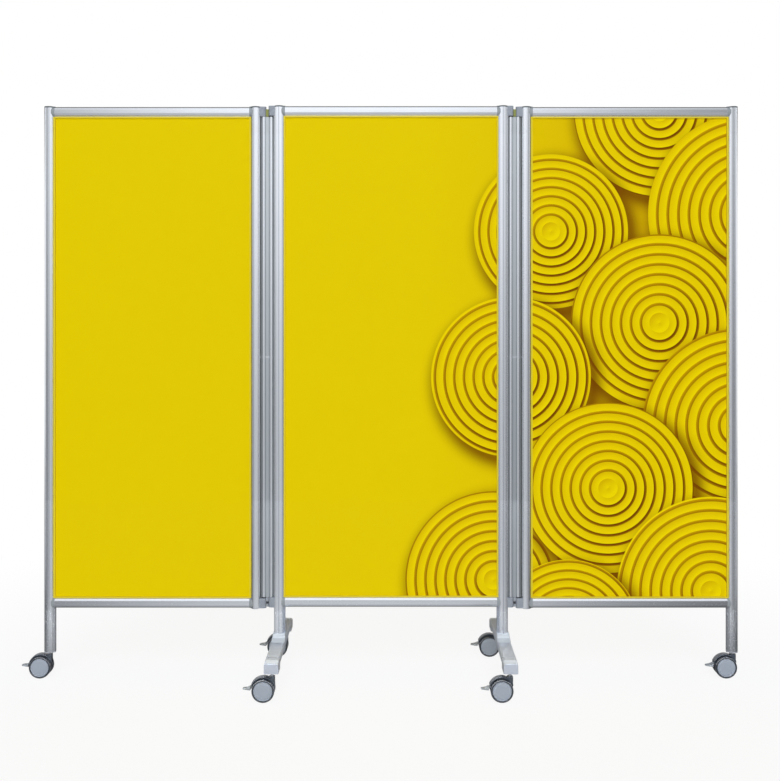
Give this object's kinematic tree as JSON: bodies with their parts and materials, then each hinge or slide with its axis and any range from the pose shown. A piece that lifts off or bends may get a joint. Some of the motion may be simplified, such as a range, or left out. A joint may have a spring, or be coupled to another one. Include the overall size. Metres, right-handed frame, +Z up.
{
  "type": "rolling partition",
  "caption": "Free-standing room divider on castors: a framed middle panel on two T-feet, with a framed wing folding on a double hinge at each side.",
  "frame": {"origin": "on the floor, under the middle of the whole object's bounding box, in the plane of the sheets", "axes": "+Z up; +X along the three panels, to the right as seen from the front; +Y towards the back"},
  "size_m": [2.5085, 0.492, 2],
  "materials": {
    "frame_aluminium": "satin anodised",
    "strip_aluminium": "satin anodised",
    "sheet_yellow": "satin printed sheet",
    "cap_grey": "satin moulded",
    "hinge_grey": "satin moulded",
    "pin_steel": "zinc plated",
    "spacer_yellow": "yellow passivated",
    "foot_grey": "satin powder coat",
    "collar_grey": "satin powder coat",
    "stem_steel": "polished",
    "hood_dark": "semi-gloss moulded",
    "tyre_dark": "satin tread",
    "hub_grey": "satin moulded",
    "pedal_grey": "satin moulded"
  },
  "bodies": {
    "centre_frame": {"centre_left_post": "frame_aluminium", "centre_right_post": "frame_aluminium", "centre_top_rail": "frame_aluminium", "centre_bottom_rail": "frame_aluminium", "centre_sheet": "sheet_yellow", "centre_rail_saddles": "hinge_grey", "centre_post_caps": "cap_grey", "centre_hinge_blocks": "hinge_grey", "foot_beams": "foot_grey", "foot_collars": "collar_grey", "foot_fixings": "pin_steel", "foot_castor_stems": "stem_steel", "left_foot_end_blocks": "foot_grey", "right_foot_end_blocks": "foot_grey"},
    "left_link": {"left_hinge_strip": "strip_aluminium", "left_hinge_pin_set": "pin_steel"},
    "left_wing": {"left_wing_outer_post": "frame_aluminium", "left_wing_inner_post": "frame_aluminium", "left_wing_top_rail": "frame_aluminium", "left_wing_bottom_rail": "frame_aluminium", "left_wing_sheet": "sheet_yellow", "left_wing_rail_saddles": "hinge_grey", "left_wing_post_caps": "cap_grey", "left_wing_hinge_blocks": "hinge_grey", "left_wing_castor_stem": "stem_steel"},
    "right_link": {"right_hinge_strip": "strip_aluminium", "right_hinge_pin_set": "pin_steel"},
    "right_wing": {"right_wing_outer_post": "frame_aluminium", "right_wing_inner_post": "frame_aluminium", "right_wing_top_rail": "frame_aluminium", "right_wing_bottom_rail": "frame_aluminium", "right_wing_sheet": "sheet_yellow", "right_wing_rail_saddles": "hinge_grey", "right_wing_post_caps": "cap_grey", "right_wing_hinge_blocks": "hinge_grey", "right_wing_castor_stem": "stem_steel"},
    "left_wing_castor_swivel": {"left_wing_castor_hood": "hood_dark"},
    "left_wing_castor_front_roll": {"left_wing_castor_front_wheel": "tyre_dark"},
    "left_wing_castor_back_roll": {"left_wing_castor_back_wheel": "tyre_dark"},
    "left_wing_castor_brake": {"left_wing_castor_pedal": "pedal_grey"},
    "right_wing_castor_swivel": {"right_wing_castor_hood": "hood_dark"},
    "right_wing_castor_front_roll": {"right_wing_castor_front_wheel": "tyre_dark"},
    "right_wing_castor_back_roll": {"right_wing_castor_back_wheel": "tyre_dark"},
    "right_wing_castor_brake": {"right_wing_castor_pedal": "pedal_grey"},
    "left_front_castor_swivel": {"left_front_castor_hood": "hood_dark"},
    "left_front_castor_front_roll": {"left_front_castor_front_wheel": "tyre_dark"},
    "left_front_castor_back_roll": {"left_front_castor_back_wheel": "tyre_dark"},
    "left_front_castor_brake": {"left_front_castor_pedal": "pedal_grey"},
    "left_rear_castor_swivel": {"left_rear_castor_hood": "hood_dark"},
    "left_rear_castor_front_roll": {"left_rear_castor_front_wheel": "tyre_dark"},
    "left_rear_castor_back_roll": {"left_rear_castor_back_wheel": "tyre_dark"},
    "left_rear_castor_brake": {"left_rear_castor_pedal": "pedal_grey"},
    "right_front_castor_swivel": {"right_front_castor_hood": "hood_dark"},
    "right_front_castor_front_roll": {"right_front_castor_front_wheel": "tyre_dark"},
    "right_front_castor_back_roll": {"right_front_castor_back_wheel": "tyre_dark"},
    "right_front_castor_brake": {"right_front_castor_pedal": "pedal_grey"},
    "right_rear_castor_swivel": {"right_rear_castor_hood": "hood_dark"},
    "right_rear_castor_front_roll": {"right_rear_castor_front_wheel": "tyre_dark"},
    "right_rear_castor_back_roll": {"right_rear_castor_back_wheel": "tyre_dark"},
    "right_rear_castor_brake": {"right_rear_castor_pedal": "pedal_grey"}
  },
  "joints": [
    {"name": "left_hinge_inner", "type": "hinge", "parent": "centre_frame", "child": "left_link", "pos_m": [-0.38025, 0, 1.12], "axis": [0, 0, 1], "range_deg": [-78, 78]},
    {"name": "left_hinge_outer", "type": "hinge", "parent": "left_link", "child": "left_wing", "pos_m": [-0.40625, 0, 1.12], "axis": [0, 0, 1], "range_deg": [-78, 78]},
    {"name": "right_hinge_inner", "type": "hinge", "parent": "centre_frame", "child": "right_link", "pos_m": [0.45975, 0, 1.12], "axis": [0, 0, 1], "range_deg": [-78, 78]},
    {"name": "right_hinge_outer", "type": "hinge", "parent": "right_link", "child": "right_wing", "pos_m": [0.48575, 0, 1.12], "axis": [0, 0, 1], "range_deg": [-78, 78]},
    {"name": "left_wing_castor_swivel", "type": "hinge", "parent": "left_wing", "child": "left_wing_castor_swivel", "pos_m": [-1.15725, 0, 0.085], "axis": [0, 0, 1], "continuous": true},
    {"name": "left_wing_castor_front_roll", "type": "hinge", "parent": "left_wing_castor_swivel", "child": "left_wing_castor_front_roll", "pos_m": [-1.18525, 0, 0.0375], "axis": [0, 1, 0], "continuous": true},
    {"name": "left_wing_castor_back_roll", "type": "hinge", "parent": "left_wing_castor_swivel", "child": "left_wing_castor_back_roll", "pos_m": [-1.18525, 0, 0.0375], "axis": [0, 1, 0], "continuous": true},
    {"name": "left_wing_castor_brake", "type": "hinge", "parent": "left_wing_castor_swivel", "child": "left_wing_castor_brake", "pos_m": [-1.21525, 0, 0.052], "axis": [0, -1, 0], "range_deg": [0, 14]},
    {"name": "right_wing_castor_swivel", "type": "hinge", "parent": "right_wing", "child": "right_wing_castor_swivel", "pos_m": [1.23675, 0, 0.085], "axis": [0, 0, 1], "continuous": true},
    {"name": "right_wing_castor_front_roll", "type": "hinge", "parent": "right_wing_castor_swivel", "child": "right_wing_castor_front_roll", "pos_m": [1.20875, 0, 0.0375], "axis": [0, 1, 0], "continuous": true},
    {"name": "right_wing_castor_back_roll", "type": "hinge", "parent": "right_wing_castor_swivel", "child": "right_wing_castor_back_roll", "pos_m": [1.20875, 0, 0.0375], "axis": [0, 1, 0], "continuous": true},
    {"name": "right_wing_castor_brake", "type": "hinge", "parent": "right_wing_castor_swivel", "child": "right_wing_castor_brake", "pos_m": [1.17875, 0, 0.052], "axis": [0, -1, 0], "range_deg": [0, 14]},
    {"name": "left_front_castor_swivel", "type": "hinge", "parent": "centre_frame", "child": "left_front_castor_swivel", "pos_m": [-0.35225, -0.217, 0.085], "axis": [0, 0, 1], "continuous": true},
    {"name": "left_front_castor_front_roll", "type": "hinge", "parent": "left_front_castor_swivel", "child": "left_front_castor_front_roll", "pos_m": [-0.38025, -0.217, 0.0375], "axis": [0, 1, 0], "continuous": true},
    {"name": "left_front_castor_back_roll", "type": "hinge", "parent": "left_front_castor_swivel", "child": "left_front_castor_back_roll", "pos_m": [-0.38025, -0.217, 0.0375], "axis": [0, 1, 0], "continuous": true},
    {"name": "left_front_castor_brake", "type": "hinge", "parent": "left_front_castor_swivel", "child": "left_front_castor_brake", "pos_m": [-0.41025, -0.217, 0.052], "axis": [0, -1, 0], "range_deg": [0, 14]},
    {"name": "left_rear_castor_swivel", "type": "hinge", "parent": "centre_frame", "child": "left_rear_castor_swivel", "pos_m": [-0.35225, 0.217, 0.085], "axis": [0, 0, 1], "continuous": true},
    {"name": "left_rear_castor_front_roll", "type": "hinge", "parent": "left_rear_castor_swivel", "child": "left_rear_castor_front_roll", "pos_m": [-0.38025, 0.217, 0.0375], "axis": [0, 1, 0], "continuous": true},
    {"name": "left_rear_castor_back_roll", "type": "hinge", "parent": "left_rear_castor_swivel", "child": "left_rear_castor_back_roll", "pos_m": [-0.38025, 0.217, 0.0375], "axis": [0, 1, 0], "continuous": true},
    {"name": "left_rear_castor_brake", "type": "hinge", "parent": "left_rear_castor_swivel", "child": "left_rear_castor_brake", "pos_m": [-0.41025, 0.217, 0.052], "axis": [0, -1, 0], "range_deg": [0, 14]},
    {"name": "right_front_castor_swivel", "type": "hinge", "parent": "centre_frame", "child": "right_front_castor_swivel", "pos_m": [0.43175, -0.217, 0.085], "axis": [0, 0, 1], "continuous": true},
    {"name": "right_front_castor_front_roll", "type": "hinge", "parent": "right_front_castor_swivel", "child": "right_front_castor_front_roll", "pos_m": [0.40375, -0.217, 0.0375], "axis": [0, 1, 0], "continuous": true},
    {"name": "right_front_castor_back_roll", "type": "hinge", "parent": "right_front_castor_swivel", "child": "right_front_castor_back_roll", "pos_m": [0.40375, -0.217, 0.0375], "axis": [0, 1, 0], "continuous": true},
    {"name": "right_front_castor_brake", "type": "hinge", "parent": "right_front_castor_swivel", "child": "right_front_castor_brake", "pos_m": [0.37375, -0.217, 0.052], "axis": [0, -1, 0], "range_deg": [0, 14]},
    {"name": "right_rear_castor_swivel", "type": "hinge", "parent": "centre_frame", "child": "right_rear_castor_swivel", "pos_m": [0.43175, 0.217, 0.085], "axis": [0, 0, 1], "continuous": true},
    {"name": "right_rear_castor_front_roll", "type": "hinge", "parent": "right_rear_castor_swivel", "child": "right_rear_castor_front_roll", "pos_m": [0.40375, 0.217, 0.0375], "axis": [0, 1, 0], "continuous": true},
    {"name": "right_rear_castor_back_roll", "type": "hinge", "parent": "right_rear_castor_swivel", "child": "right_rear_castor_back_roll", "pos_m": [0.40375, 0.217, 0.0375], "axis": [0, 1, 0], "continuous": true},
    {"name": "right_rear_castor_brake", "type": "hinge", "parent": "right_rear_castor_swivel", "child": "right_rear_castor_brake", "pos_m": [0.37375, 0.217, 0.052], "axis": [0, -1, 0], "range_deg": [0, 14]}
  ]
}
